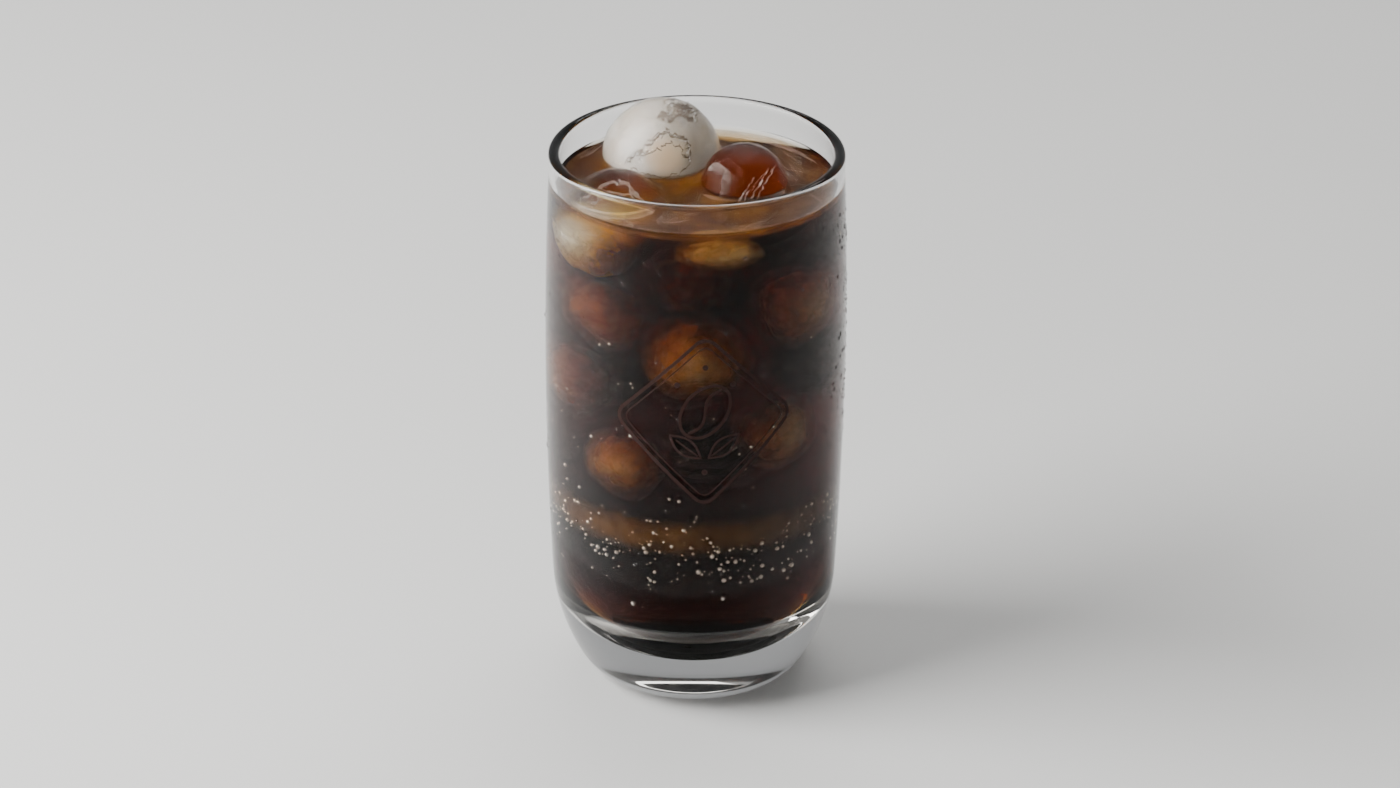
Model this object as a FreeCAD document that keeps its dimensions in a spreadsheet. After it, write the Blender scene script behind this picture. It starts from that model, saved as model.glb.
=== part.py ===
"""Cold brew coffee over round ice in a tall glass tumbler.

Millimetres, +Z up.  The origin is the middle of the foot, on the table.
"""
import FreeCAD, Part
import math
import os
import Sketcher

doc = FreeCAD.newDocument("cold_brew")

# ---------------------------------------------------------------- driving sizes
# Lengths are in mm and bearings in degrees round +Z, counted from +X.

SIZES = [
    ("height", 132.0, "table to the top of the rim"),
    ("belly_diameter", 69.8, "widest outside width"),
    ("belly_height", 82.0, "height of the widest place"),
    ("rim_inset", 1.1, "how far the wall has come in from the belly at the rim"),
    ("flank_radius", 1080.0, "outside curve of the side below the belly"),
    ("turn_radius", 46.0, "outside curve from the side into the heel"),
    ("heel_radius", 12.0, "outside curve from the heel into the foot"),
    ("foot_inset", 17.9, "from the belly in to the edge of the flat foot"),
    ("wall_thickness", 2.2, "glass wall"),
    ("rim_bead", 2.6, "thickness of the rounded bead along the rim"),
    ("base_thickness", 11.3, "glass under the coffee"),
    ("bowl_radius", 29.0, "inside curve from the floor into the wall"),
    ("headroom", 8.7, "from the top of the rim down to the coffee"),
    ("meniscus_rise", 1.7, "how high the coffee climbs the wall"),
    ("meniscus_reach", 3.2, "how far from the wall the climb starts"),
    ("ice_to_wall", 0.4, "film of coffee between a ball and the wall"),
    ("back_ball_diameter", 27.6, "large ball at the back"),
    ("back_ball_bearing", 117.0, "where it lies round the glass"),
    ("back_ball_lift", 0.3, "its middle above the level of the coffee"),
    ("left_ball_diameter", 23.2, "ball at the front left"),
    ("left_ball_bearing", 203.0, "where it lies round the glass"),
    ("left_ball_lift", -5.3, "its middle above the level of the coffee"),
    ("right_ball_diameter", 20.6, "ball at the right"),
    ("right_ball_bearing", 2.7, "where it lies round the glass"),
    ("right_ball_offset", 10.9, "its middle from the axis of the glass"),
    ("right_ball_lift", -1.0, "its middle above the level of the coffee"),
]

DERIVED = [
    ("belly_radius", "=belly_diameter / 2"),
    ("foot_radius", "=belly_radius - foot_inset"),
    ("bead_height", "=height - rim_bead / 2"),
    ("bead_radius", "=belly_radius - rim_inset - wall_thickness / 2"),
    ("neck_radius", "=(rim_inset ^ 2 + (bead_height - belly_height) ^ 2) / (2 * rim_inset)"),
    ("hollow_top", "=height + rim_bead"),
    ("level", "=height - headroom"),
    ("contact_height", "=level + meniscus_rise"),
    ("mouth_radius", "=belly_radius - neck_radius"
                     " + sqrt((neck_radius - wall_thickness) ^ 2 - (level - belly_height) ^ 2)"),
    ("back_ball_offset", "=mouth_radius - ice_to_wall - back_ball_diameter / 2"),
    ("left_ball_offset", "=mouth_radius - ice_to_wall - left_ball_diameter / 2"),
]

sheet = doc.addObject("Spreadsheet::Sheet", "sizes")
for row, (name, value, meaning) in enumerate(SIZES, start=1):
    sheet.set(f"A{row}", meaning)
    sheet.set(f"B{row}", str(value))
    sheet.setAlias(f"B{row}", name)
for row, (name, formula) in enumerate(DERIVED, start=len(SIZES) + 1):
    sheet.set(f"B{row}", formula)
    sheet.setAlias(f"B{row}", name)
doc.recompute()


def size(name):
    """The value of one cell of the sheet."""
    return float(getattr(sheet, name))


# ------------------------------------------------------------- turned outlines
START, END, CENTRE = 1, 2, 3
ORIGIN = (-1, START)
UPRIGHT_AXIS = -2


def point(x, z):
    return FreeCAD.Vector(x, z, 0)


def bearing(centre, other):
    """Angle of the ray from one point to another."""
    ray = other - centre
    return math.atan2(ray.y, ray.x)


class Outline:
    """Half the section of a round piece, turned about the axis of the glass."""

    def __init__(self, name):
        self.name = name
        self.body = doc.addObject("PartDesign::Body", name)
        self.sketch = self.body.newObject("Sketcher::SketchObject", name + "_outline")
        planes = {plane.Role: plane for plane in self.body.Origin.OriginFeatures}
        self.sketch.AttachmentSupport = [(planes["XZ_Plane"], "")]
        self.sketch.MapMode = "FlatFace"

    def line(self, first, last):
        return self.sketch.addGeometry(Part.LineSegment(first, last), False)

    def arc(self, centre, radius, first, last):
        circle = Part.Circle(centre, FreeCAD.Vector(0, 0, 1), radius)
        return self.sketch.addGeometry(Part.ArcOfCircle(circle, first, last), False)

    def hold(self, *rule):
        return self.sketch.addConstraint(Sketcher.Constraint(*rule))

    def bind(self, formula, value, *rule):
        """Hold a dimension that follows the sheet."""
        index = self.hold(*rule, value)
        self.sketch.setExpression(f"Constraints[{index}]", formula)

    def join(self, *curves):
        """Run the curves on from each other, smoothly after each one marked smooth."""
        for (curve, _, leave, smooth), (follower, enter, _, _) in zip(curves, curves[1:]):
            self.hold("Tangent" if smooth else "Coincident", curve, leave, follower, enter)

    def side(self, inset, low_end):
        """Flank and neck of the wall, inset from its outside, which meet at the belly."""
        belly, radius = size("belly_height"), size("belly_radius")
        thinner = " - sizes.wall_thickness" if inset else ""
        curves = []
        for name, first, last in (("flank_radius", low_end, 0.0), ("neck_radius", 0.0, 0.03)):
            centre = point(radius - size(name), belly)
            curve = self.arc(centre, size(name) - inset, first, last)
            self.bind("sizes." + name + thinner, size(name) - inset, "Radius", curve)
            self.bind("sizes.belly_height", belly, "DistanceY", *ORIGIN, curve, CENTRE)
            curves.append(curve)
        flank, neck = curves
        self.bind("sizes.belly_height", belly, "DistanceY", *ORIGIN, flank, END)
        self.bind("sizes.belly_radius" + thinner, radius - inset, "DistanceX", *ORIGIN, flank, END)
        return flank, neck

    def cap(self, radius, height):
        """Flat top from the wall in to the axis, and the axis down from it."""
        top = self.line(point(radius, height), point(0, height))
        axis = self.line(point(0, height), point(0, 0))
        self.hold("Horizontal", top)
        self.hold("Vertical", axis)
        return top, axis

    def turn(self):
        turned = self.body.newObject("PartDesign::Revolution", self.name + "_turned")
        turned.Profile = self.sketch
        turned.ReferenceAxis = (self.sketch, ["V_Axis"])
        turned.Angle = 360
        self.sketch.Visibility = False
        return self.body


# ------------------------------------------------------------------- the glass
# A blown tumbler: a gentle belly, a strongly rounded heel, a small flat foot, a
# thick clear base and a fire-rounded bead along the rim.

def outside_of_glass():
    """The tumbler as if it were solid, up to the middle of its bead."""
    foot_radius, heel_radius = size("foot_radius"), size("heel_radius")
    turn_radius, flank_radius = size("turn_radius"), size("flank_radius")
    heel_centre = point(foot_radius, heel_radius)
    flank_centre = point(size("belly_radius") - flank_radius, size("belly_height"))

    # The turn touches the heel and the flank from within, so its centre lies at
    # the two differences of radius from theirs.
    span = heel_centre - flank_centre
    from_flank, from_heel = flank_radius - turn_radius, turn_radius - heel_radius
    along = (from_flank ** 2 - from_heel ** 2 + span.Length ** 2) / (2 * span.Length)
    across = math.sqrt(from_flank ** 2 - along ** 2)
    ahead = span / span.Length
    turn_centre = flank_centre + ahead * along + point(-ahead.y, ahead.x) * across
    heel_end = bearing(turn_centre, heel_centre)
    turn_end = bearing(flank_centre, turn_centre)

    outline = Outline("blank")
    foot = outline.line(point(0, 0), point(foot_radius, 0))
    heel = outline.arc(heel_centre, heel_radius, -math.pi / 2, heel_end)
    turn = outline.arc(turn_centre, turn_radius, heel_end, turn_end)
    flank, neck = outline.side(0.0, turn_end)
    top, axis = outline.cap(size("belly_radius") - size("rim_inset"), size("bead_height"))
    outline.join((foot, START, END, True), (heel, START, END, True), (turn, START, END, True),
                 (flank, START, END, False), (neck, START, END, False),
                 (top, START, END, False), (axis, START, END, False), (foot, START, END, True))
    outline.hold("Coincident", foot, START, *ORIGIN)
    outline.hold("Horizontal", foot)
    outline.bind("sizes.foot_radius", foot_radius, "DistanceX", *ORIGIN, foot, END)
    outline.bind("sizes.heel_radius", heel_radius, "Radius", heel)
    outline.bind("sizes.turn_radius", turn_radius, "Radius", turn)
    outline.bind("sizes.bead_height", size("bead_height"), "DistanceY", *ORIGIN, neck, END)
    return outline.turn()


def inside_of_glass(name, has_surface):
    """The space in the tumbler: up past the rim, or up to the coffee's surface."""
    floor_height, bowl_radius = size("base_thickness"), size("bowl_radius")
    inset = size("wall_thickness")
    flank_centre = point(size("belly_radius") - size("flank_radius"), size("belly_height"))

    # The bowl touches the floor and, from within, the flank.
    reach = size("flank_radius") - inset - bowl_radius
    drop = floor_height + bowl_radius - flank_centre.y
    bowl_centre = point(flank_centre.x + math.sqrt(reach ** 2 - drop ** 2),
                        floor_height + bowl_radius)
    bowl_end = bearing(flank_centre, bowl_centre)

    outline = Outline(name)
    floor = outline.line(point(0, floor_height), point(bowl_centre.x, floor_height))
    bowl = outline.arc(bowl_centre, bowl_radius, -math.pi / 2, bowl_end)
    flank, neck = outline.side(inset, bowl_end)
    walls = [(floor, START, END, True), (bowl, START, END, True),
             (flank, START, END, False), (neck, START, END, False)]
    if has_surface:
        rise, reach = size("meniscus_rise"), size("meniscus_reach")
        level, mouth = size("level"), size("mouth_radius")
        curve_radius = (rise ** 2 + reach ** 2) / (2 * rise)
        curve_centre = point(mouth - reach, level + curve_radius)
        curve_end = bearing(curve_centre, point(mouth, level + rise))
        meniscus = outline.arc(curve_centre, curve_radius, -math.pi / 2, curve_end)
        top, axis = outline.cap(mouth - reach, level)
        walls.append((meniscus, END, START, True))
        outline.bind("sizes.contact_height", level + rise, "DistanceY", *ORIGIN, neck, END)
        outline.bind("sizes.level", level, "DistanceY", *ORIGIN, meniscus, START)
        outline.bind("sizes.meniscus_reach", reach, "DistanceX", meniscus, START, meniscus, END)
    else:
        top, axis = outline.cap(size("mouth_radius"), size("hollow_top"))
        outline.bind("sizes.hollow_top", size("hollow_top"), "DistanceY", *ORIGIN, neck, END)
    outline.join(*walls, (top, START, END, False), (axis, START, END, False), walls[0])
    outline.hold("PointOnObject", floor, START, UPRIGHT_AXIS)
    outline.hold("Horizontal", floor)
    outline.bind("sizes.base_thickness", floor_height, "DistanceY", *ORIGIN, floor, START)
    outline.bind("sizes.bowl_radius", bowl_radius, "Radius", bowl)
    return outline.turn()


def boolean(kind, name, base, tool):
    """Cut or fuse two objects of the document."""
    result = doc.addObject("Part::" + kind, name)
    result.Base = base
    result.Tool = tool
    return result


def tumbler():
    wall = boolean("Cut", "wall", outside_of_glass(), inside_of_glass("hollow", False))
    bead = doc.addObject("Part::Torus", "bead")
    bead.setExpression("Radius1", "sizes.bead_radius")
    bead.setExpression("Radius2", "sizes.rim_bead / 2")
    bead.setExpression("Placement.Base.z", "sizes.bead_height")
    return boolean("Fuse", "glass", wall, bead)


# --------------------------------------------------------------------- the ice
# Moulded balls of ice, partly melted.  These three stand out of the coffee.  The
# ball at the back has melted a seat into the others where they lean on it.

def ball(name):
    sphere = doc.addObject("Part::Sphere", name)
    sphere.setExpression("Radius", f"sizes.{name}_diameter / 2")
    offset, angle = f"sizes.{name}_offset", f"sizes.{name}_bearing"
    sphere.setExpression("Placement.Base.x", f"{offset} * cos({angle})")
    sphere.setExpression("Placement.Base.y", f"{offset} * sin({angle})")
    sphere.setExpression("Placement.Base.z", f"sizes.level + sizes.{name}_lift")
    return sphere


# ------------------------------------------------------------------ the whole
glass = tumbler()
back_ball, left_ball, right_ball = ball("back_ball"), ball("left_ball"), ball("right_ball")
left_ice = boolean("Cut", "ice_left", left_ball, back_ball)
right_ice = boolean("Cut", "ice_right", right_ball, back_ball)
floating = doc.addObject("Part::MultiFuse", "floating_ice")
floating.Shapes = [back_ball, left_ball, right_ball]
coffee = boolean("Cut", "coffee", inside_of_glass("fill", True), floating)

NODES = {"glass": glass, "coffee": coffee, "ice_back": back_ball,
         "ice_left": left_ice, "ice_right": right_ice}
for label, node in NODES.items():
    node.Label = label
doc.recompute()

for item in doc.Objects:
    if "Invalid" in item.State or "Error" in item.State:
        raise RuntimeError(f"{item.Label} failed: {item.State}")
os.makedirs("parts", exist_ok=True)
for label, node in NODES.items():
    if node.Shape.isNull() or not node.Shape.isValid():
        raise RuntimeError(f"{label} has no valid shape")
    node.Shape.exportStep(f"parts/{label}.step")
    print(f"{label}: {len(node.Shape.Solids)} solid, {node.Shape.Volume / 1000:.2f} cm3")
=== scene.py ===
import bmesh
import bpy
import math
import random
from mathutils import Matrix, Vector, noise


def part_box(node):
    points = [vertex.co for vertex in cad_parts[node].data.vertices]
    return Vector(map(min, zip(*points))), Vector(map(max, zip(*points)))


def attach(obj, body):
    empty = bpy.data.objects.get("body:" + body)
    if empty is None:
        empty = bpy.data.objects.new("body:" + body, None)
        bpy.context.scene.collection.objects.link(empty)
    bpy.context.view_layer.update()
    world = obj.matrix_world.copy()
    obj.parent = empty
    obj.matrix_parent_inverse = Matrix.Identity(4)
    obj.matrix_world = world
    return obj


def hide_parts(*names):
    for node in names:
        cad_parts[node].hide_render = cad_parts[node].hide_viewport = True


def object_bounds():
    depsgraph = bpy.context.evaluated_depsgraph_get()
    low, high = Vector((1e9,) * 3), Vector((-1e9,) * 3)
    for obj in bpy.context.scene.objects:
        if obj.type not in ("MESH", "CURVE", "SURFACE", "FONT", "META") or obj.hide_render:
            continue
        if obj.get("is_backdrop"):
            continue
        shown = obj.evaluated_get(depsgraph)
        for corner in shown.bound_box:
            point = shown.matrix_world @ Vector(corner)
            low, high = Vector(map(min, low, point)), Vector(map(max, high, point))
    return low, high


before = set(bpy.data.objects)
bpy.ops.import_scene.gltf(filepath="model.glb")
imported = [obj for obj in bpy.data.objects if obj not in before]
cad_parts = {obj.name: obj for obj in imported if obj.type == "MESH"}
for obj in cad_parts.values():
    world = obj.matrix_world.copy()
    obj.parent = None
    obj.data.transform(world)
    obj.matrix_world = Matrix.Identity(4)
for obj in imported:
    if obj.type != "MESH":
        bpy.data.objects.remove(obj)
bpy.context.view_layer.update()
mm = 0.001


# ---------------------------------------------------------------- the table
# The glass stands on a plain pale table top.  A large soft lamp to the left lights
# it, and the room gives the same dim light from all sides.

class Value:
    """An output of a material's node, on which sums add Math nodes."""

    def __init__(self, tree, socket=None):
        self.tree = tree
        self.socket = socket

    def node(self, kind, settings, inputs, output=0):
        """Add a node, settings first and then sockets, and give one of its outputs."""
        made = self.tree.nodes.new(kind)
        for name, setting in settings.items():
            setattr(made, name, setting)
        for name, given in inputs.items():
            if isinstance(given, Value):
                self.tree.links.new(given.socket, made.inputs[name])
            else:
                made.inputs[name].default_value = given
        return Value(self.tree, made.outputs[output])

    def math(self, operation, first, second):
        return self.node("ShaderNodeMath", {"operation": operation}, {0: first, 1: second})

    def __add__(self, other):
        return self.math("ADD", self, other)

    def __sub__(self, other):
        return self.math("SUBTRACT", self, other)

    def __rsub__(self, other):
        return self.math("SUBTRACT", other, self)

    def __mul__(self, other):
        return self.math("MULTIPLY", self, other)

    def between(self, low, high):
        """0 below low, 1 above high and smooth between them."""
        settings = {"interpolation_type": "SMOOTHSTEP"}
        return self.node("ShaderNodeMapRange", settings,
                         {"Value": self, "From Min": low, "From Max": high})

    def blend(self, first, second):
        """The first colour where this is 0, and the second where it is 1."""
        return self.node("ShaderNodeMix", {"data_type": "RGBA"},
                         {0: self, 6: first, 7: second}, 2)


def finish_named(name):
    """A new material with only its output, and a bench to put its nodes on."""
    material = bpy.data.materials.new(name)
    material.use_nodes = True
    tree = material.node_tree
    tree.nodes.clear()
    tree.nodes.new("ShaderNodeOutputMaterial")
    return material, Value(tree)


def use(bench, surface, volume=None):
    """Send a shader to the surface, and another to the inside, of the bench's material."""
    output = bench.tree.nodes["Material Output"]
    bench.tree.links.new(surface.socket, output.inputs["Surface"])
    if volume:
        bench.tree.links.new(volume.socket, output.inputs["Volume"])


def piece(name, points, faces, material, smooth=True):
    """A mesh object of one material."""
    mesh = bpy.data.meshes.new(name)
    mesh.from_pydata(points, [], faces)
    mesh.materials.append(material)
    mesh.validate()
    mesh.polygons.foreach_set("use_smooth", [smooth] * len(mesh.polygons))
    made = bpy.data.objects.new(name, mesh)
    bpy.context.collection.objects.link(made)
    return made


table_finish, bench = finish_named("pale_table")
grain = bench.node("ShaderNodeTexNoise", {}, {"Scale": 30.0, "Detail": 3.0})
use(bench, bench.node("ShaderNodeBsdfPrincipled", {}, {
    "Base Color": grain.blend((0.56, 0.555, 0.54, 1), (0.60, 0.595, 0.58, 1)),
    "Roughness": 0.55}))
TABLE_HALF = 4.0
corners = [(x * TABLE_HALF, y * TABLE_HALF, 0) for x, y in ((-1, -1), (1, -1), (1, 1), (-1, 1))]
table = piece("table", corners, [(0, 1, 2, 3)], table_finish)
table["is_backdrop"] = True

room = bpy.data.worlds.new("room")
bpy.context.scene.world = room
room.use_nodes = True
room.node_tree.nodes["Background"].inputs["Color"].default_value = (0.98, 0.99, 1.0, 1)
room.node_tree.nodes["Background"].inputs["Strength"].default_value = 0.34

LAMP_TARGET = Vector((0, 0, 0.07))
LAMPS = {
    "window_lamp": ((-0.82, -0.22, 0.52), 0.8, 1.0, 36.0),
    "ceiling_lamp": ((0.10, 0.45, 0.88), 0.9, 1.1, 7.0),
}
for name, (toward, width, distance, watts) in LAMPS.items():
    soft_lamp = bpy.data.lights.new(name, "AREA")
    soft_lamp.size = width
    soft_lamp.energy = watts
    lamp = bpy.data.objects.new(name, soft_lamp)
    toward_lamp = Vector(toward).normalized()
    lamp.location = toward_lamp * distance + LAMP_TARGET
    lamp.rotation_euler = toward_lamp.to_track_quat("Z", "Y").to_euler()
    bpy.context.collection.objects.link(lamp)


# ---------------------------------------------------------------- the camera
# It looks down a little on the glass through a long lens, as from across a table.  The
# glass and its frosted ice take many bounces.

CAMERA_DISTANCE = 1.169
CAMERA_PITCH = math.radians(25.52)
CAMERA_ROLL = math.radians(0.44)
AIM = Vector((0, 0, 0.0664))
camera_data = bpy.data.cameras.new("camera")
camera_data.lens = 128.57
camera_data.shift_x = 0.0036
camera_data.shift_y = 0.0103
camera = bpy.data.objects.new("camera", camera_data)
back = Vector((0, -math.cos(CAMERA_PITCH), math.sin(CAMERA_PITCH)))
camera.matrix_world = (Matrix.Translation(AIM + back * CAMERA_DISTANCE)
                       @ Matrix.Rotation(math.pi / 2 - CAMERA_PITCH, 4, "X")
                       @ Matrix.Rotation(CAMERA_ROLL, 4, "Z"))
bpy.context.collection.objects.link(camera)
bpy.context.scene.camera = camera
bpy.context.scene.cycles.max_bounces = 32
bpy.context.scene.cycles.transmission_bounces = 28
bpy.context.scene.cycles.transparent_max_bounces = 72


# ---------------------------------------------------------------- the glass
# A blown tumbler of clear glass: a gentle belly, a strongly rounded heel, a thick
# clear base and a bead along the rim where the edge was melted round.

RIM_HEIGHT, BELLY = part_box("glass")[1].z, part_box("glass")[1].x
BELLY_HEIGHT, FOOT = 82 * mm, BELLY - 17.9 * mm
WALL, BEAD, BASE = 2.2 * mm, 2.6 * mm, 11.3 * mm
FLANK, TURN, HEEL, BOWL = 1080 * mm, 46 * mm, 12 * mm, 29 * mm
RIM_INSET = 1.1 * mm
BEAD_BLEND = 3 * mm
AROUND = 256
BEAD_HEIGHT = RIM_HEIGHT - BEAD / 2
NECK = (RIM_INSET ** 2 + (BEAD_HEIGHT - BELLY_HEIGHT) ** 2) / (2 * RIM_INSET)


def side_radius(height, inset):
    """Radius of the wall at a height, inset from its outside."""
    curve = FLANK if height < BELLY_HEIGHT else NECK
    return BELLY - curve + math.sqrt((curve - inset) ** 2 - (height - BELLY_HEIGHT) ** 2)


def arc(centre, radius, first, last, steps):
    """Points (radius, height) along an arc, without its first one."""
    angles = [first + (last - first) * step / steps for step in range(1, steps + 1)]
    return [(centre[0] + radius * math.cos(angle), centre[1] + radius * math.sin(angle))
            for angle in angles]


def run_up(first, last, inset, steps):
    """Points up the side from one height to another, without the first one."""
    heights = [first + (last - first) * step / steps for step in range(1, steps + 1)]
    return [(side_radius(height, inset), height) for height in heights]


def outside():
    """Outline of the outside, from the middle of the foot up to the rim."""
    heel_centre = Vector((FOOT, HEEL))
    flank_centre = Vector((BELLY - FLANK, BELLY_HEIGHT))
    span = heel_centre - flank_centre
    from_flank, from_heel = FLANK - TURN, TURN - HEEL
    along = (from_flank ** 2 - from_heel ** 2 + span.length_squared) / (2 * span.length)
    across = math.sqrt(from_flank ** 2 - along ** 2)
    ahead = span.normalized()
    turn_centre = flank_centre + ahead * along + Vector((-ahead.y, ahead.x)) * across
    heel_ray, turn_ray = heel_centre - turn_centre, turn_centre - flank_centre
    heel_end, turn_end = math.atan2(heel_ray.y, heel_ray.x), math.atan2(turn_ray.y, turn_ray.x)
    points = [(0.0, 0.0), (FOOT * 0.5, 0.0), (FOOT, 0.0)]
    points += arc(heel_centre, HEEL, -math.pi / 2, heel_end, 14)
    points += arc(turn_centre, TURN, heel_end, turn_end, 24)
    return points + run_up(points[-1][1], BEAD_HEIGHT - BEAD_BLEND, 0, 60)


def inside(lap):
    """Outline of the inside, from the middle of the floor up, moved out by the lap."""
    inset, bowl = WALL - lap, BOWL + lap
    floor = BASE - lap
    reach = FLANK - inset - bowl
    drop = BASE + BOWL - BELLY_HEIGHT
    centre = Vector((BELLY - FLANK + math.sqrt(reach ** 2 - drop ** 2), BASE + BOWL))
    end = math.atan2(centre.y - BELLY_HEIGHT, centre.x - BELLY + FLANK)
    points = [(0.0, floor), (centre.x * 0.5, floor), (centre.x, floor)]
    return points + arc(centre, bowl, -math.pi / 2, end, 24)


def lathe(outline, turns):
    """Points and faces of an outline turned about the axis, which it starts on."""
    points, faces = [Vector((outline[0][0], 0, outline[0][1]))], []
    closed = outline[-1][0] == 0
    rings = outline[1:-1] if closed else outline[1:]
    for radius, height in rings:
        for step in range(turns):
            angle = 2 * math.pi * step / turns
            points.append(Vector((radius * math.cos(angle), radius * math.sin(angle), height)))
    for step in range(turns):
        following = (step + 1) % turns
        faces.append((0, 1 + following, 1 + step))
        for ring in range(len(rings) - 1):
            low, high = 1 + ring * turns, 1 + (ring + 1) * turns
            faces.append((low + step, low + following, high + following, high + step))
    if closed:
        points.append(Vector((0, 0, outline[-1][1])))
        top = 1 + (len(rings) - 1) * turns
        for step in range(turns):
            faces.append((top + step, top + (step + 1) % turns, len(points) - 1))
    return points, faces


glass_finish, bench = finish_named("clear_glass")
use(bench, bench.node("ShaderNodeBsdfPrincipled", {}, {
    "Base Color": (1, 1, 1, 1), "Roughness": 0.0, "IOR": 1.5, "Transmission Weight": 1.0,
    "Specular Tint": (0.11, 0.11, 0.11, 1)}))

bead_radius = side_radius(BEAD_HEIGHT, WALL / 2)
rim = arc((bead_radius, BEAD_HEIGHT), BEAD / 2, -0.15, math.pi + 0.15, 20)
inner = inside(0) + run_up(inside(0)[-1][1], BEAD_HEIGHT - BEAD_BLEND, WALL, 60)
points, faces = lathe(outside() + rim + inner[::-1], AROUND)
tumbler = piece("tumbler", points, faces, glass_finish)
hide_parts("glass")
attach(tumbler, "root")


# ---------------------------------------------------------------- the coffee
# Cold brew, nearly black in the deep and amber where it is thin.  It wets the glass
# and climbs a little up the wall and up each ball of ice that stands out of it.

LEVEL = RIM_HEIGHT - 8.7 * mm
RISE, LAP = 1.7 * mm, 0.12 * mm
MOUTH = side_radius(LEVEL, WALL)
CLIMB = 1.3 * mm
BALL_RISE = 0.9 * mm
BALLS = {}
for name in ("ice_back", "ice_left", "ice_right"):
    low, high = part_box(name)
    BALLS[name] = ((low + high) / 2, (high.z - low.z) / 2)


def surface_height(x, y):
    """Height of the coffee, with its climb at the wall and at the balls."""
    to_wall = max(MOUTH - math.hypot(x, y), 0)
    height = LEVEL + RISE * math.exp(-to_wall / CLIMB)
    for centre, radius in BALLS.values():
        waterline = math.sqrt(radius ** 2 - (centre.z - LEVEL) ** 2)
        to_ball = max(math.hypot(x - centre.x, y - centre.y) - waterline, 0)
        height += BALL_RISE * math.exp(-to_ball / CLIMB)
    return height


coffee_finish, bench = finish_named("coffee")
use(bench,
    bench.node("ShaderNodeBsdfPrincipled", {}, {
        "Base Color": (1, 1, 1, 1), "Roughness": 0.0, "IOR": 1.33, "Transmission Weight": 1.0,
        "Specular Tint": (0.08, 0.08, 0.08, 1)}),
    bench.node("ShaderNodeVolumeAbsorption", {}, {
        "Color": (0.77, 0.516, 0.0, 1), "Density": 310.0}))

contact = LEVEL + RISE
side = inside(LAP) + run_up(inside(LAP)[-1][1], contact, WALL - LAP, 60)
RINGS, CROWDING = 70, 1.4
inward = [MOUTH * (1 - (step / RINGS) ** CROWDING) for step in range(1, RINGS)]
outline = side + [(radius, LEVEL) for radius in inward] + [(0, LEVEL)]
points, faces = lathe(outline, AROUND)
top_start = 1 + (len(side) - 1) * AROUND
for point in points[top_start:]:
    point.z = surface_height(point.x, point.y)
drink = piece("drink", points, faces, coffee_finish)
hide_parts("coffee")
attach(drink, "root")


# the top few millimetres are cloudy brown with fine coffee oils
film_finish, bench = finish_named("coffee_oils")
place = bench.node("ShaderNodeTexCoord", {}, {}, 3)
swirl = bench.node("ShaderNodeTexNoise", {}, {
    "Vector": place, "Scale": 90.0, "Detail": 5.0, "Distortion": 1.2})
use(bench, bench.node("ShaderNodeBsdfPrincipled", {}, {
    "Base Color": swirl.between(0.35, 0.65).blend((0.24, 0.085, 0.010, 1), (0.40, 0.175, 0.030, 1)),
    "Roughness": 0.8, "Specular IOR Level": 0.1,
    "Alpha": swirl.between(0.25, 0.75) * 0.22 + 0.10}))
FILM_RINGS, FILM_TURNS = 60, 160
FILM_UNDER, FILM_TOP = 1.1 * mm, 0.7 * mm
reach = MOUTH - 0.3 * mm
out_steps = [reach * step / FILM_RINGS for step in range(1, FILM_RINGS + 1)]
outline = [(0, LEVEL)] + [(radius, LEVEL) for radius in out_steps]
outline += [(radius, LEVEL) for radius in out_steps[::-1]] + [(0, LEVEL)]
points, faces = lathe(outline, FILM_TURNS)
for number, point in enumerate(points):
    deep = FILM_UNDER if number < 1 + FILM_RINGS * FILM_TURNS else FILM_TOP
    point.z = surface_height(point.x, point.y) - deep
film = piece("coffee_oils", points, faces, film_finish)
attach(film, "root")

# the lowest third is darker, below the level where the ice has thinned it
SETTLED, OFF_WALL = 45 * mm, 0.4 * mm
settled_finish, bench = finish_named("settled_coffee")
use(bench,
    bench.node("ShaderNodeBsdfPrincipled", {}, {
        "Base Color": (1, 1, 1, 1), "Roughness": 0.0, "IOR": 1.0, "Transmission Weight": 1.0}),
    bench.node("ShaderNodeVolumeAbsorption", {}, {
        "Color": (0.3, 0.1, 0.1, 1), "Density": 60.0}))
side = inside(-OFF_WALL) + run_up(inside(-OFF_WALL)[-1][1], SETTLED, WALL + OFF_WALL, 6)
points, faces = lathe(side + [(side[-1][0] * 0.5, SETTLED), (0, SETTLED)], 128)
settled = piece("settled_drink", points, faces, settled_finish)
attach(settled, "root")

# a faint amber band lies along that level, just inside the wall: a painted glow of the light that comes
# through the drink where the ice ends
glow_band_finish, bench = finish_named("painted_amber_glow")
place = bench.node("ShaderNodeTexCoord", {}, {}, 3)
height = bench.node("ShaderNodeSeparateXYZ", {}, {0: place}, 2)
mottle = bench.node("ShaderNodeTexNoise", {}, {"Vector": place, "Scale": 160.0, "Detail": 3.0})
band = height.between(0.043, 0.0475) * (1 - height.between(0.0485, 0.054))
use(bench, bench.node("ShaderNodeBsdfPrincipled", {}, {
    "Base Color": mottle.blend((0.34, 0.14, 0.02, 1), (0.46, 0.24, 0.04, 1)), "Roughness": 0.8,
    "IOR": 1.1, "Alpha": band * mottle * 0.42}))
GLOW_LOW, GLOW_HIGH = 0.042, 0.055
outer, inner = [side_radius(0.048, WALL + inset) for inset in (1.3 * mm, 1.5 * mm)]
section = ((outer, GLOW_LOW), (outer, GLOW_HIGH), (inner, GLOW_HIGH), (inner, GLOW_LOW))
points, faces = [], []
for step in range(AROUND):
    angle = 2 * math.pi * step / AROUND
    points += [Vector((radius * math.cos(angle), radius * math.sin(angle), height))
               for radius, height in section]
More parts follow.
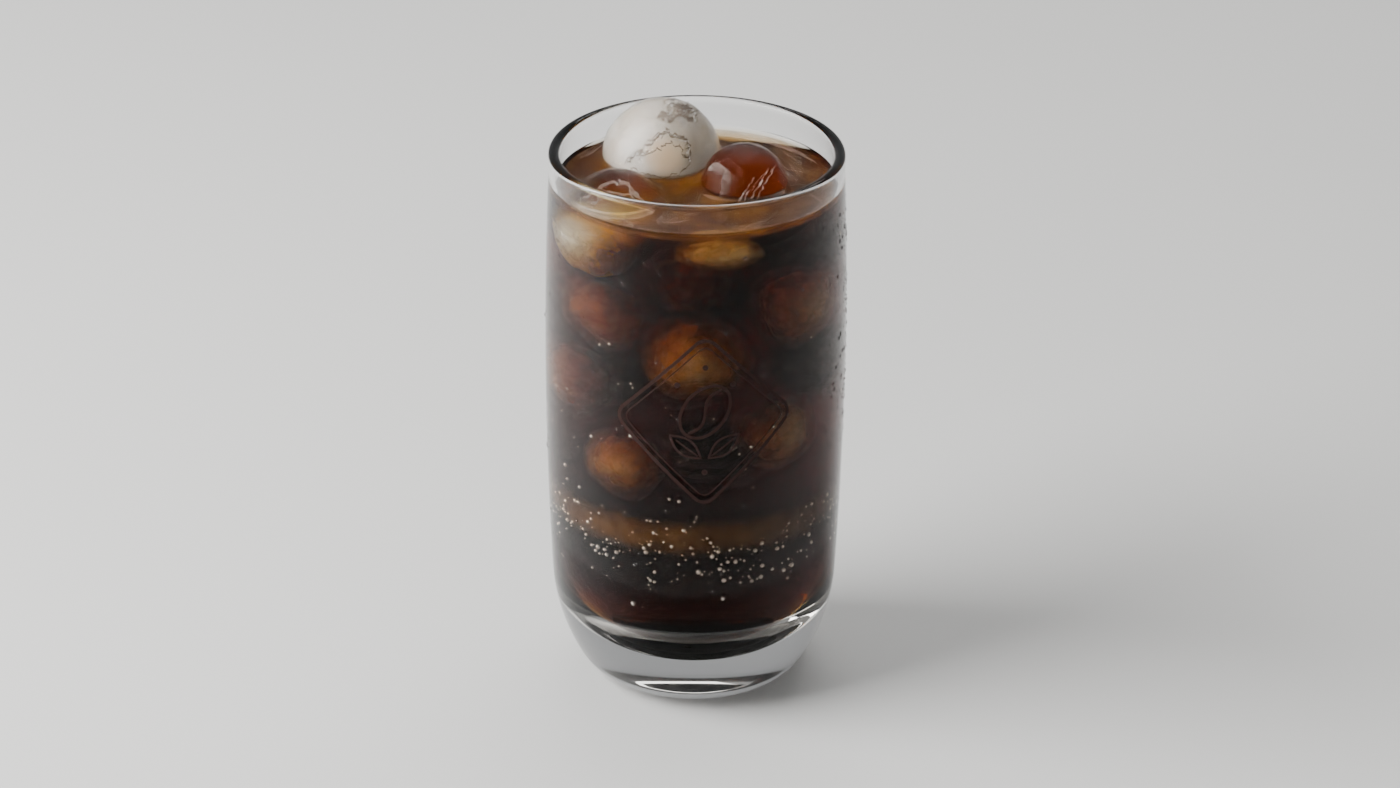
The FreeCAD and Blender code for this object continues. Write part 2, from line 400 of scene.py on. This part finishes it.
for step in range(AROUND):
    here, there = step * 4, (step + 1) % AROUND * 4
    faces += [(here + side, there + side, there + (side + 1) % 4, here + (side + 1) % 4)
              for side in range(4)]
band_ring = piece("painted_glow_ring", points, faces, glow_band_finish)
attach(band_ring, "root")


# ---------------------------------------------------------------- bubbles
# Air that clings to the inside of the wall as the ice melts.  Each bubble shines like
# a small bead, and they crowd round the level where the ice ends.

def ball_points(centre, radius, seed, detail, lumps, stretch=(1, 1, 1)):
    """Points and faces of a partly melted ball; lumps are (height, how many) pairs."""
    shape = bmesh.new()
    bmesh.ops.create_icosphere(shape, subdivisions=detail, radius=1)
    shift = Vector((seed * 7.3, seed * 3.1, seed * 5.7))
    for vertex in shape.verts:
        ray = vertex.co.normalized()
        swell = sum(height * noise.noise(ray * count + shift) for height, count in lumps)
        vertex.co = centre + ray * (radius + swell) * Vector(stretch)
    points = [vertex.co.copy() for vertex in shape.verts]
    faces = [tuple(vertex.index for vertex in face.verts) for face in shape.faces]
    shape.free()
    return points, faces


def gather(parts):
    """One list of points and one of faces from several."""
    points, faces = [], []
    for more_points, more_faces in parts:
        start = len(points)
        points += more_points
        faces += [tuple(start + corner for corner in face) for face in more_faces]
    return points, faces


bubble_finish, bench = finish_named("air_bubbles")
tint = bench.node("ShaderNodeTexNoise", {}, {"Scale": 400.0, "Detail": 2.0})
use(bench, bench.node("ShaderNodeBsdfPrincipled", {}, {
    "Base Color": tint.blend((0.66, 0.54, 0.42, 1), (0.97, 0.91, 0.83, 1)),
    "Roughness": 0.16, "Metallic": 0.75}))
BUBBLES = 720
chance = random.Random(7)
places, parts = [], []
while len(places) < BUBBLES:
    middle = chance.uniform(-math.pi, math.pi)
    spread = chance.random()
    if spread < 0.72:
        level = chance.gauss(44, 5)
    elif spread < 0.93:
        level = chance.uniform(40, 82)
    else:
        level = chance.uniform(30, 118)
    for count in range(chance.choice((1, 1, 2, 3, 4))):
        bearing = middle + chance.gauss(0, 0.045)
        height = (level + chance.gauss(0, 1.3)) * mm
        if not 28 * mm < height < 121 * mm:
            continue
        size = min(0.15 + chance.expovariate(5.5), 0.58) * mm
        out = side_radius(height, WALL) - size * 0.9 - 0.1 * mm
        place = Vector((out * math.cos(bearing), out * math.sin(bearing), height))
        if any((place - other).length < size + room for other, room in places):
            continue
        places.append((place, size))
        parts.append(ball_points(place, size, 0, 3 if size > 0.34 * mm else 2, (),
                                 (1, 1, chance.uniform(0.85, 1.1))))
points, faces = gather(parts)
bubbles = piece("air_bubbles", points, faces, bubble_finish)
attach(bubbles, "root")


# ---------------------------------------------------------------- floating ice
# Balls of ice from a round mould, half melted.  The large one is milky.  The right one
# is clear with cracks, and the left one is clear above and white in its lower part.

RIGHT = Vector((1, 0, 0))
UP = Vector((0, math.sin(CAMERA_PITCH), math.cos(CAMERA_PITCH)))
TOWARD = Vector((0, -math.cos(CAMERA_PITCH), math.sin(CAMERA_PITCH)))


def on_ball(centre, radius, across, up, deep=1.0):
    """A place on the front of a ball, across and up as parts of its radius."""
    front = math.sqrt(max(1 - across ** 2 - up ** 2, 0))
    return centre + (RIGHT * across + UP * up + TOWARD * front) * radius * deep


def clear_ice(name, roughness, bumps, depth):
    """Clear ice, browner inside the greater its depth of colour."""
    made, bench = finish_named(name)
    ripple = bench.node("ShaderNodeTexNoise", {}, {"Scale": 260.0, "Detail": 3.0})
    use(bench,
        bench.node("ShaderNodeBsdfPrincipled", {}, {
            "Base Color": (0.99, 0.985, 0.98, 1), "Roughness": roughness, "IOR": 1.31,
            "Transmission Weight": 1.0, "Specular Tint": (0.35, 0.35, 0.35, 1),
            "Normal": bench.node("ShaderNodeBump", {}, {
                "Height": ripple, "Strength": bumps, "Distance": 0.4 * mm})}),
        bench.node("ShaderNodeVolumeAbsorption", {}, {
            "Color": (0.6, 0.35, 0.1, 1), "Density": depth}))
    return made


def milky_ice(name, pale, dark, size):
    """White ice with a heart that lets some light in."""
    made, bench = finish_named(name)
    cloud = bench.node("ShaderNodeTexNoise", {}, {"Scale": size, "Detail": 5.0})
    use(bench, bench.node("ShaderNodeBsdfPrincipled", {}, {
        "Base Color": cloud.between(0.36, 0.64).blend(dark, pale),
        "Roughness": 0.55, "Specular IOR Level": 0.0, "Subsurface Weight": 1.0,
        "Subsurface Radius": (1.0, 0.93, 0.85), "Subsurface Scale": 4 * mm}))
    return made


clear_finish = clear_ice("clear_ice", 0.015, 0.25, 75.0)
clean_finish = clear_ice("clean_ice", 0.015, 0.25, 8.0)
milky_finish, bench = finish_named("milky_ice")
place = bench.node("ShaderNodeTexCoord", {}, {}, 3)
centre, radius = BALLS["ice_back"]


def near(place, spot, close, far):
    """1 close to a spot and 0 far from it."""
    distance = bench.node("ShaderNodeVectorMath", {"operation": "DISTANCE"},
                          {0: place, 1: spot}, 1)
    return 1 - distance.between(close, far)


# painted light and shade: near white round a spot on the ball's left, where the window lamp falls on
# it, and brown-grey away from it
painted_lit_side = near(place, on_ball(centre, radius, -0.48, 0.12), 3 * mm, 13 * mm)
warm = near(place, on_ball(centre, radius, 0.03, -0.06), 1.5 * mm, 8.0 * mm)
cloud = bench.node("ShaderNodeTexNoise", {}, {"Vector": place, "Scale": 140.0, "Detail": 7.0})
lit_and_shaded_milk = painted_lit_side.blend((0.52, 0.45, 0.35, 1), (1.0, 0.985, 0.95, 1))
patch = near(place, on_ball(centre, radius, 0.26, 0.80), 2.0 * mm, 8.0 * mm)
crystals = bench.node("ShaderNodeTexNoise", {}, {"Vector": place, "Scale": 700.0, "Detail": 3.0})
lit_and_shaded_milk = (patch * crystals.between(0.42, 0.56)).blend(lit_and_shaded_milk, (0.34, 0.28, 0.22, 1))
mottled = (cloud.between(0.42, 0.62) * 0.22).blend(lit_and_shaded_milk, (0.62, 0.53, 0.43, 1))
ball_colour = (warm * 0.85).blend(mottled, (0.72, 0.52, 0.28, 1))
use(bench, bench.node("ShaderNodeBsdfPrincipled", {}, {
    "Base Color": ball_colour,
    "Roughness": 0.4, "IOR": 1.05, "Subsurface Weight": 1.0,
    "Subsurface Radius": (1.0, 0.93, 0.85), "Subsurface Scale": 3 * mm}))


def frost(name, pale, dark, size, thin, window=None):
    """Cloud in clear ice: a patchy coat that lets part of what is behind it through."""
    made, bench = finish_named(name)
    place = bench.node("ShaderNodeTexCoord", {}, {}, 3)
    cloud = bench.node("ShaderNodeTexNoise", {}, {"Vector": place, "Scale": size, "Detail": 6.0})
    cover = cloud.between(0.15, 0.80) * thin
    if window:
        distance = bench.node("ShaderNodeVectorMath", {"operation": "DISTANCE"},
                              {0: place, 1: window}, 1)
        cover = cover * distance.between(3.5 * mm, 7.5 * mm)
    use(bench, bench.node("ShaderNodeBsdfPrincipled", {}, {
        "Base Color": cloud.between(0.4, 0.6).blend(dark, pale), "Roughness": 0.6,
        "Specular IOR Level": 0.0, "Alpha": cover}))
    return made


back_frost = frost("milky_frost", (0.98, 0.95, 0.90, 1), (0.84, 0.77, 0.68, 1), 150.0, 0.20,
                   on_ball(centre, radius, 0.03, -0.06))
faint_frost = frost("faint_frost", (0.97, 0.88, 0.68, 1), (0.80, 0.66, 0.42, 1), 260.0, 0.08)
sunk_frost = frost("sunk_frost", (0.97, 0.90, 0.72, 1), (0.82, 0.68, 0.44, 1), 260.0, 0.42)
crack_and_reflection_finish, bench = finish_named("ice_crack_and_painted_reflection")
speck = bench.node("ShaderNodeTexNoise", {}, {"Scale": 900.0, "Detail": 3.0})
use(bench, bench.node("ShaderNodeBsdfPrincipled", {}, {
    "Base Color": (0.93, 0.91, 0.88, 1), "Roughness": 0.3,
    "Alpha": speck.between(0.42, 0.62)}))


dark_crack_finish, bench = finish_named("deep_crack")
speck = bench.node("ShaderNodeTexNoise", {}, {"Scale": 700.0, "Detail": 3.0})
use(bench, bench.node("ShaderNodeBsdfPrincipled", {}, {
    "Base Color": speck.blend((0.05, 0.03, 0.018, 1), (0.20, 0.14, 0.09, 1)), "Roughness": 0.3,
    "Alpha": speck.between(0.34, 0.50)}))


def spot_along(path, step, steps):
    """Across and up at one step of the way along a path."""
    along = step / steps * (len(path) - 1)
    first = min(int(along), len(path) - 2)
    share = along - first
    return (path[first][0] * (1 - share) + path[first + 1][0] * share,
            path[first][1] * (1 - share) + path[first + 1][1] * share)


def crinkled_sheet(centre, radius, path, seed, shallow=0.96, deep=0.7, crinkle=0.05, steps=60):
    """A crinkled sheet that follows a path over a ball and goes in towards its middle."""
    points, faces = [], []
    rows = 8
    for step in range(steps + 1):
        across, up = spot_along(path, step, steps)
        for row in range(rows + 1):
            depth = shallow + (deep - shallow) * row / rows
            spot = Vector((across * 7, up * 7, depth * 3 + seed * 4.1))
            wave_across = crinkle * noise.noise(spot) + crinkle * 0.6 * noise.noise(spot * 3.1)
            wave_up = crinkle * noise.noise(spot + Vector((9, 4, 2)))
            points.append(on_ball(centre, radius, across + wave_across, up + wave_up, depth))
    for step in range(steps):
        for row in range(rows):
            corner = step * (rows + 1) + row
            faces.append((corner, corner + rows + 1, corner + rows + 2, corner + 1))
    return points, faces


def crack_line(centre, radius, path, seed, width, depth=0.985, crinkle=0.06, steps=110):
    """A crinkled dark line just under the face of a ball."""
    points = []
    for step in range(steps + 1):
        across, up = spot_along(path, step, steps)
        spot = Vector((across * 9, up * 9, seed * 4.1))
        across += crinkle * (noise.noise(spot) + 0.7 * noise.noise(spot * 3.3))
        up += crinkle * (noise.noise(spot + Vector((9, 4, 2))) + 0.7 * noise.noise(spot * 3.3 + UP))
        half = width / 2 * (0.45 + 1.1 * abs(noise.noise(spot * 2.1 + TOWARD)))
        points += [on_ball(centre, radius, across, up + half, depth),
                   on_ball(centre, radius, across, up - half, depth)]
    faces = [(2 * step, 2 * step + 1, 2 * step + 3, 2 * step + 2) for step in range(steps)]
    return points, faces


SEAT_LAP = 0.12 * mm
for seed, (name, (centre, radius)) in enumerate(BALLS.items()):
    lumps = ((0.35 * mm, 1.6), (0.12 * mm, 5.0))
    points, faces = ball_points(centre, radius, seed, 6, lumps)
    ball = piece("ball_" + name, points, faces, clear_finish if name == "ice_right" else clean_finish)
    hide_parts(name)
    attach(ball, "root")
    points, faces = ball_points(centre, radius - SEAT_LAP, seed, 5, lumps)
    cutter = piece("cutter", points, faces, clear_finish)
    for whole in (drink, film):
        cut = whole.modifiers.new("seat", "BOOLEAN")
        cut.operation = "DIFFERENCE"
        cut.object = cutter
        depsgraph = bpy.context.evaluated_depsgraph_get()
        carved = bpy.data.meshes.new_from_object(whole.evaluated_get(depsgraph))
        whole.modifiers.clear()
        whole.data = carved
    bpy.data.objects.remove(cutter)

drink.data.set_sharp_from_angle(angle=math.radians(35))

# the milky ball: a white heart and four thin coats of cloud, with a rough patch at its top
centre, radius = BALLS["ice_back"]
rough_patch = (on_ball(centre, radius, 0.28, 0.86) - centre).normalized()


def milky_ball(share):
    """A ball of cloud inside the milky ball, bumpy near the rough patch."""
    points, faces = ball_points(centre, radius * share, 21, 6, ((0.5 * mm, 1.5), (0.3 * mm, 4.0)))
    for point in points:
        ray = (point - centre).normalized()
        near_patch = max(0, 1 - (ray - rough_patch).length / 0.55)
        point += ray * near_patch * 1.5 * mm * noise.noise(ray * 11)
    return points, faces


coats = [piece("milky_heart", *milky_ball(0.77), milky_finish),
         piece("milky_coats", *gather([milky_ball(share) for share in (0.82, 0.87, 0.92, 0.96)]),
               back_frost)]
arch = [(-0.56, -0.16), (-0.42, 0.02), (-0.28, 0.08), (-0.13, 0.24), (0.13, 0.37),
        (0.30, 0.26), (0.44, 0.22), (0.46, 0.05), (0.48, -0.12)]
inner_arch = [(-0.40, -0.10), (-0.2, 0.04), (-0.02, 0.12), (0.16, 0.17), (0.32, 0.08), (0.37, -0.08)]
sill = [(-0.52, -0.22), (-0.3, -0.36), (0.07, -0.40), (0.3, -0.33), (0.47, -0.14)]
nub = [(0.02, 0.80), (0.2, 0.86), (0.34, 0.88), (0.5, 0.78)]
nub_low = [(0.0, 0.68), (0.22, 0.76), (0.42, 0.74), (0.55, 0.62)]
points, faces = gather([crack_line(centre, radius, arch, 1, 0.055, 0.985, 0.08),
                        crack_line(centre, radius, inner_arch, 2, 0.032, 0.985, 0.07),
                        crack_line(centre, radius, arch, 5, 0.028, 0.985, 0.11),
                        crack_line(centre, radius, sill, 3, 0.03, 0.985, 0.05),
                        crack_line(centre, radius, nub, 4, 0.05, 0.985, 0.16),
                        crack_line(centre, radius, nub_low, 6, 0.04, 0.985, 0.18)]
                       + [crack_line(centre, radius, [(0.06 * k, 0.60 + 0.05 * (k % 3)),
                                                      (0.10 + 0.07 * k, 0.84 - 0.02 * k)],
                                     14 + k, 0.05, 0.985, 0.20, 60) for k in range(7)])
cracks_back = piece("cracks_back", points, faces, dark_crack_finish)
points, faces = gather([crinkled_sheet(centre, radius, arch, 9, 0.998, 0.93, 0.06, 90),
                        crinkled_sheet(centre, radius, nub, 4, 0.998, 0.94, 0.10, 90),
                        crinkled_sheet(centre, radius, nub_low, 5, 0.998, 0.94, 0.10, 90)])
frills_back = piece("frills_back", points, faces, crack_and_reflection_finish)

# the clear ball to the right: streaks of cracks, and at its left a white sheet that is a painted
# reflection of the window lamp
centre, radius = BALLS["ice_right"]
painted_reflection_path = [(-0.80, 0.42), (-0.62, 0.55), (-0.45, 0.40), (-0.52, 0.1), (-0.62, -0.25)]
streaks = [[(0.72 - 0.16 * k, 0.48 - 0.08 * k), (0.50 - 0.17 * k, 0.12 - 0.1 * k),
            (0.30 - 0.15 * k, -0.28 - 0.06 * k)] for k in range(4)]
# the first sheet is a painted reflection of the window lamp; the others are cracks
parts = [crinkled_sheet(centre, radius, painted_reflection_path, 6, 0.96, 0.5, 0.10)]
parts += [crinkled_sheet(centre, radius, streak, 7 + number, 0.95, 0.86, 0.07, 40)
          for number, streak in enumerate(streaks)]
points, faces = gather(parts)
cracks_and_painted_reflection = piece("cracks_and_painted_reflection", points, faces, crack_and_reflection_finish)

# the ball to the left: a clear cap over ice that is white, then yellow, then brown
centre, radius = BALLS["ice_left"]


def painted_glow_ice(name, cover):
    """White ice that turns yellow and then brown away from a spot at its lower left: painted light,
    white where the lamp's light comes in through the wall, yellow and brown as it passes through more
    coffee.
    """
    made, bench = finish_named(name)
    place = bench.node("ShaderNodeTexCoord", {}, {}, 3)
    cloud = bench.node("ShaderNodeTexNoise", {}, {"Vector": place, "Scale": 260.0, "Detail": 5.0})
    # painted light: white near the spot where the window lamp's light comes in through the wall, yellow
    # and then brown further from it
    distance = bench.node("ShaderNodeVectorMath", {"operation": "DISTANCE"},
                          {0: place, 1: on_ball(centre, radius, -0.86, -0.40)}, 1)
    distance = distance + (cloud - 0.5) * 4 * mm
    yellow = distance.between(6 * mm, 11.5 * mm).blend((1.0, 0.99, 0.97, 1), (0.90, 0.66, 0.16, 1))
    brown = distance.between(11 * mm, 20 * mm).blend(yellow, (0.26, 0.085, 0.010, 1))
    use(bench, bench.node("ShaderNodeBsdfPrincipled", {}, {
        "Base Color": brown, "Roughness": 0.55, "Specular IOR Level": 0.0,
        "Alpha": cloud.between(0.15, 0.80) * cover if cover < 1 else 1.0}))
    return made


left_frost = painted_glow_ice("left_frost", 0.55)
heart_finish = painted_glow_ice("left_white", 1.0)


def left_cloud(share, detail):
    """A ball of cloud inside the left ball, pressed flat under its clear cap."""
    points, faces = ball_points(centre + Vector((-0.6, -0.5, -0.6)) * mm, radius * share, 23, detail,
                                ((0.7 * mm, 1.5), (0.6 * mm, 4.0), (0.3 * mm, 10.0)))
    ceiling = centre.z + (9.0 * (share - 0.78) - 3.4) * mm
    for point in points:
        point.z = min(point.z, ceiling + 0.22 * (point.z - ceiling))
    return points, faces


left_coats = [piece("left_heart", *left_cloud(0.76, 6), heart_finish),
              piece("left_coats", *gather([left_cloud(share, 5) for share in (0.82, 0.88, 0.92, 0.96)]),
                    left_frost)]
cap_lines = [[(-0.6, 0.45), (-0.2, 0.7), (0.25, 0.66), (0.5, 0.42)],
             [(-0.45, 0.32), (-0.1, 0.5), (0.3, 0.46), (0.62, 0.2)],
             [(0.1, 0.8), (0.35, 0.5), (0.6, 0.3), (0.75, 0.1)]]
points, faces = gather([crinkled_sheet(centre, radius, line, 12 + number, 0.96, 0.86, 0.07, 40)
                        for number, line in enumerate(cap_lines)])
cracks_left = piece("cracks_left", points, faces, crack_and_reflection_finish)
for made in (*coats, frills_back, cracks_back, cracks_and_painted_reflection, *left_coats, cracks_left):
    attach(made, "root")


# ---------------------------------------------------------------- sunk ice
# The balls under the surface crowd up against each other and the wall.  They are
# cloudy, worn by the drink, and one near the surface has melted flat.  The cloud in
# each is a small heart and nested coats that thin out towards its skin.

SUNK = [
    ((19.5, -9.3, 99.5), 10.8), ((0.4, -20.4, 91.2), 11.2), ((16.3, -14.6, 70.5), 10.4),
    ((-13.5, -15.0, 61.8), 9.8), ((-19.5, 0.5, 76.5), 10.6), ((-1.0, -6.0, 105.0), 9.8),
    ((14.5, 15.5, 105.5), 10.9), ((-17.6, 11.1, 100.4), 11.0), ((0.7, 20.2, 91.0), 11.2),
    ((-0.4, -0.7, 81.4), 10.6), ((-12.8, 16.2, 73.0), 11.1), ((18.0, 9.3, 79.0), 11.2),
    ((1.9, 6.0, 58.5), 10.8), ((-16.4, -7.4, 96.8), 10.2),
]
sunk_finish = milky_ice("sunk_ice", (0.95, 0.86, 0.66, 1), (0.74, 0.60, 0.40, 1), 170.0)


def sunk_balls(share, detail):
    """Every sunk piece of ice, shrunk to a share of its size."""
    parts = [ball_points(Vector(place) * mm, (radius - 0.6) * mm * share, 30 + number, detail,
                         ((1.9 * mm, 1.0), (0.5 * mm, 3.0), (0.3 * mm, 8.0)))
             for number, (place, radius) in enumerate(SUNK)]
    parts.append(ball_points(Vector((5.0, -25.2, 118.2)) * mm, share * mm, 50, detail,
                             ((0.16 * mm, 1.3), (0.10 * mm, 5.0)), (9.4, 5.2, 3.9)))
    return gather(parts)


sunk_pieces = [
    piece("sunk_hearts", *sunk_balls(0.46, 5), sunk_finish),
    piece("sunk_cloud", *gather([sunk_balls(share, 4) for share in (0.53, 0.60, 0.67, 0.74)]),
          sunk_frost),
    piece("sunk_coat", *gather([sunk_balls(share, 4) for share in (0.80, 0.86, 0.91, 0.96, 1.0)]),
          faint_frost)]
for made in sunk_pieces:
    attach(made, "root")


# ---------------------------------------------------------------- condensation
# Fine drops of water that settle on the cold outside, most of them to the right.

water_finish, bench = finish_named("water_drops")
use(bench, bench.node("ShaderNodeBsdfPrincipled", {}, {
    "Base Color": (1, 1, 1, 1), "Roughness": 0.02, "IOR": 1.33, "Transmission Weight": 1.0}))
DROPS = 760
chance = random.Random(11)
drops, parts = [], []
while len(drops) < DROPS:
    if chance.random() < 0.8:
        bearing = math.radians(chance.triangular(-50, 70, 0))
        height = chance.uniform(62, 121) * mm
    else:
        bearing = math.radians(chance.uniform(120, 330))
        height = chance.uniform(30, 121) * mm
    size = min(0.14 + chance.expovariate(8), 0.50) * mm
    out = side_radius(height, 0)
    place = Vector((out * math.cos(bearing), out * math.sin(bearing), height))
    if any((place - other).length < size + room for other, room in drops):
        continue
    drops.append((place, size))
    points, faces = ball_points(Vector((0, 0, 0)), size, 0, 3 if size > 0.30 * mm else 2, (),
                                (1, 1, 0.5))
    turn = Vector((place.x, place.y, 0)).to_track_quat("Z", "Y")
    parts.append(([place + turn @ point for point in points], faces))
points, faces = gather(parts)
drops_piece = piece("condensation", points, faces, water_finish)
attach(drops_piece, "root")


# ---------------------------------------------------------------- badge
# A thin dark print fired on the front of the glass: a lozenge round a coffee bean
# with two leaves.

BADGE_HEIGHT, BADGE_SIDE = 79.5 * mm, 2.3 * mm
print_finish, bench = finish_named("brown_print")
wear = bench.node("ShaderNodeTexNoise", {}, {"Scale": 700.0, "Detail": 3.0})
use(bench, bench.node("ShaderNodeBsdfPrincipled", {}, {
    "Base Color": wear.blend((0.014, 0.006, 0.005, 1), (0.032, 0.015, 0.012, 1)),
    "Roughness": 0.6, "Specular IOR Level": 0.12}))


def stroke(path, width, closed=False):
    """A printed line along a flat path, wrapped on the outside of the glass."""
    points, faces = [], []
    count = len(path)
    for number, (across, up) in enumerate(path):
        before = Vector(path[number - 1] if number or closed else path[0])
        after = Vector(path[(number + 1) % count] if number + 1 < count or closed else path[-1])
        ahead = (after - before).normalized() * width / 2
        for side in (-1, 1):
            for lift in (-0.04 * mm, 0.05 * mm):
                flat_x = (across - ahead.y * side) * mm
                flat_y = (up + ahead.x * side) * mm
                height = BADGE_HEIGHT + flat_y
                out = side_radius(height, 0)
                bearing = -math.pi / 2 + (BADGE_SIDE + flat_x) / BELLY
                points.append(Vector(((out + lift) * math.cos(bearing),
                                      (out + lift) * math.sin(bearing), height)))
    for number in range(count if closed else count - 1):
        here, there = number * 4, (number + 1) % count * 4
        for first, second in ((0, 1), (1, 3), (3, 2), (2, 0)):
            faces.append((here + first, here + second, there + second, there + first))
    if not closed:
        end = (count - 1) * 4
        faces += [(0, 2, 3, 1), (end, end + 1, end + 3, end + 2)]
    return points, faces


def oval(centre, half_long, half_wide, tilt, steps=48):
    turns = [2 * math.pi * step / steps for step in range(steps)]
    return [(centre[0] + half_long * math.cos(turn) * math.cos(tilt)
             - half_wide * math.sin(turn) * math.sin(tilt),
             centre[1] + half_long * math.cos(turn) * math.sin(tilt)
             + half_wide * math.sin(turn) * math.cos(tilt)) for turn in turns]


def lozenge(half, corner, steps=16):
    """A square on its point, with rounded corners."""
    path = []
    for quarter in range(4):
        middle = math.pi / 2 * quarter
        for step in range(steps + 1):
            turn = middle - math.pi / 4 + math.pi / 2 * step / steps
            reach = half - corner * math.sqrt(2)
            path.append((reach * math.cos(middle) + corner * math.cos(turn),
                         reach * math.sin(middle) + corner * math.sin(turn)))
        for step in range(1, 10):
            share = step / 10
            following = middle + math.pi / 2
            start, turn = path[-1] if step == 1 else start, middle + math.pi / 4
            finish = (reach * math.cos(following) + corner * math.cos(turn),
                      reach * math.sin(following) + corner * math.sin(turn))
            path.append((start[0] + (finish[0] - start[0]) * share,
                         start[1] + (finish[1] - start[1]) * share))
    return path


def leaf(root, length, tilt, bulge=0.22, steps=24):
    """A pointed leaf and its midrib."""
    edge = []
    for side in (1, -1):
        for step in range(steps):
            share = step / steps if side == 1 else 1 - step / steps
            wide = side * bulge * length * math.sin(math.pi * share)
            edge.append((root[0] + length * share * math.cos(tilt) - wide * math.sin(tilt),
                         root[1] + length * share * math.sin(tilt) + wide * math.cos(tilt)))
    rib = [(root[0] + length * share / 10 * math.cos(tilt),
            root[1] + length * share / 10 * math.sin(tilt)) for share in range(1, 9)]
    return edge, rib


strokes = [stroke(lozenge(21.5, 3.0), 0.75, True), stroke(lozenge(19.3, 2.2), 0.3, True)]
tilt = math.radians(55)
strokes.append(stroke(oval((0, 2.6), 7.2, 4.9, tilt), 0.7, True))
crease = []
for step in range(-12, 13):
    along, bow = step / 12 * 6.6, 1.3 * math.sin(step / 12 * math.pi)
    crease.append((along * math.cos(tilt) - bow * math.sin(tilt),
                   2.6 + along * math.sin(tilt) + bow * math.cos(tilt)))
strokes.append(stroke(crease, 0.6))
for mirror in (1, -1):
    lean = math.radians(38) if mirror == 1 else math.pi - math.radians(38)
    edge, rib = leaf((0.9 * mirror, -9.0), 9.0, lean)
    strokes.append(stroke(edge, 0.5, True))
    strokes.append(stroke(rib, 0.4))
for across, up in ((-6.4, 9.2), (6.4, 9.2), (0, -12.6), (0, 13.6)):
    strokes.append(stroke(oval((across, up), 0.35, 0.35, 0, 12), 0.7, True))
points, faces = gather(strokes)
badge = piece("front_print", points, faces, print_finish, smooth=False)
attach(badge, "root")

# a small dark speck shows in the foot of the glass, left from moulding
points, faces = ball_points(Vector((-1.4, -14.0, 2.6)) * mm, 1 * mm, 3, 3, ((0.2 * mm, 2.0),),
                            (0.9, 0.9, 0.5))
speck_piece = piece("foot_speck", points, faces, print_finish)
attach(speck_piece, "root")

low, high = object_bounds()
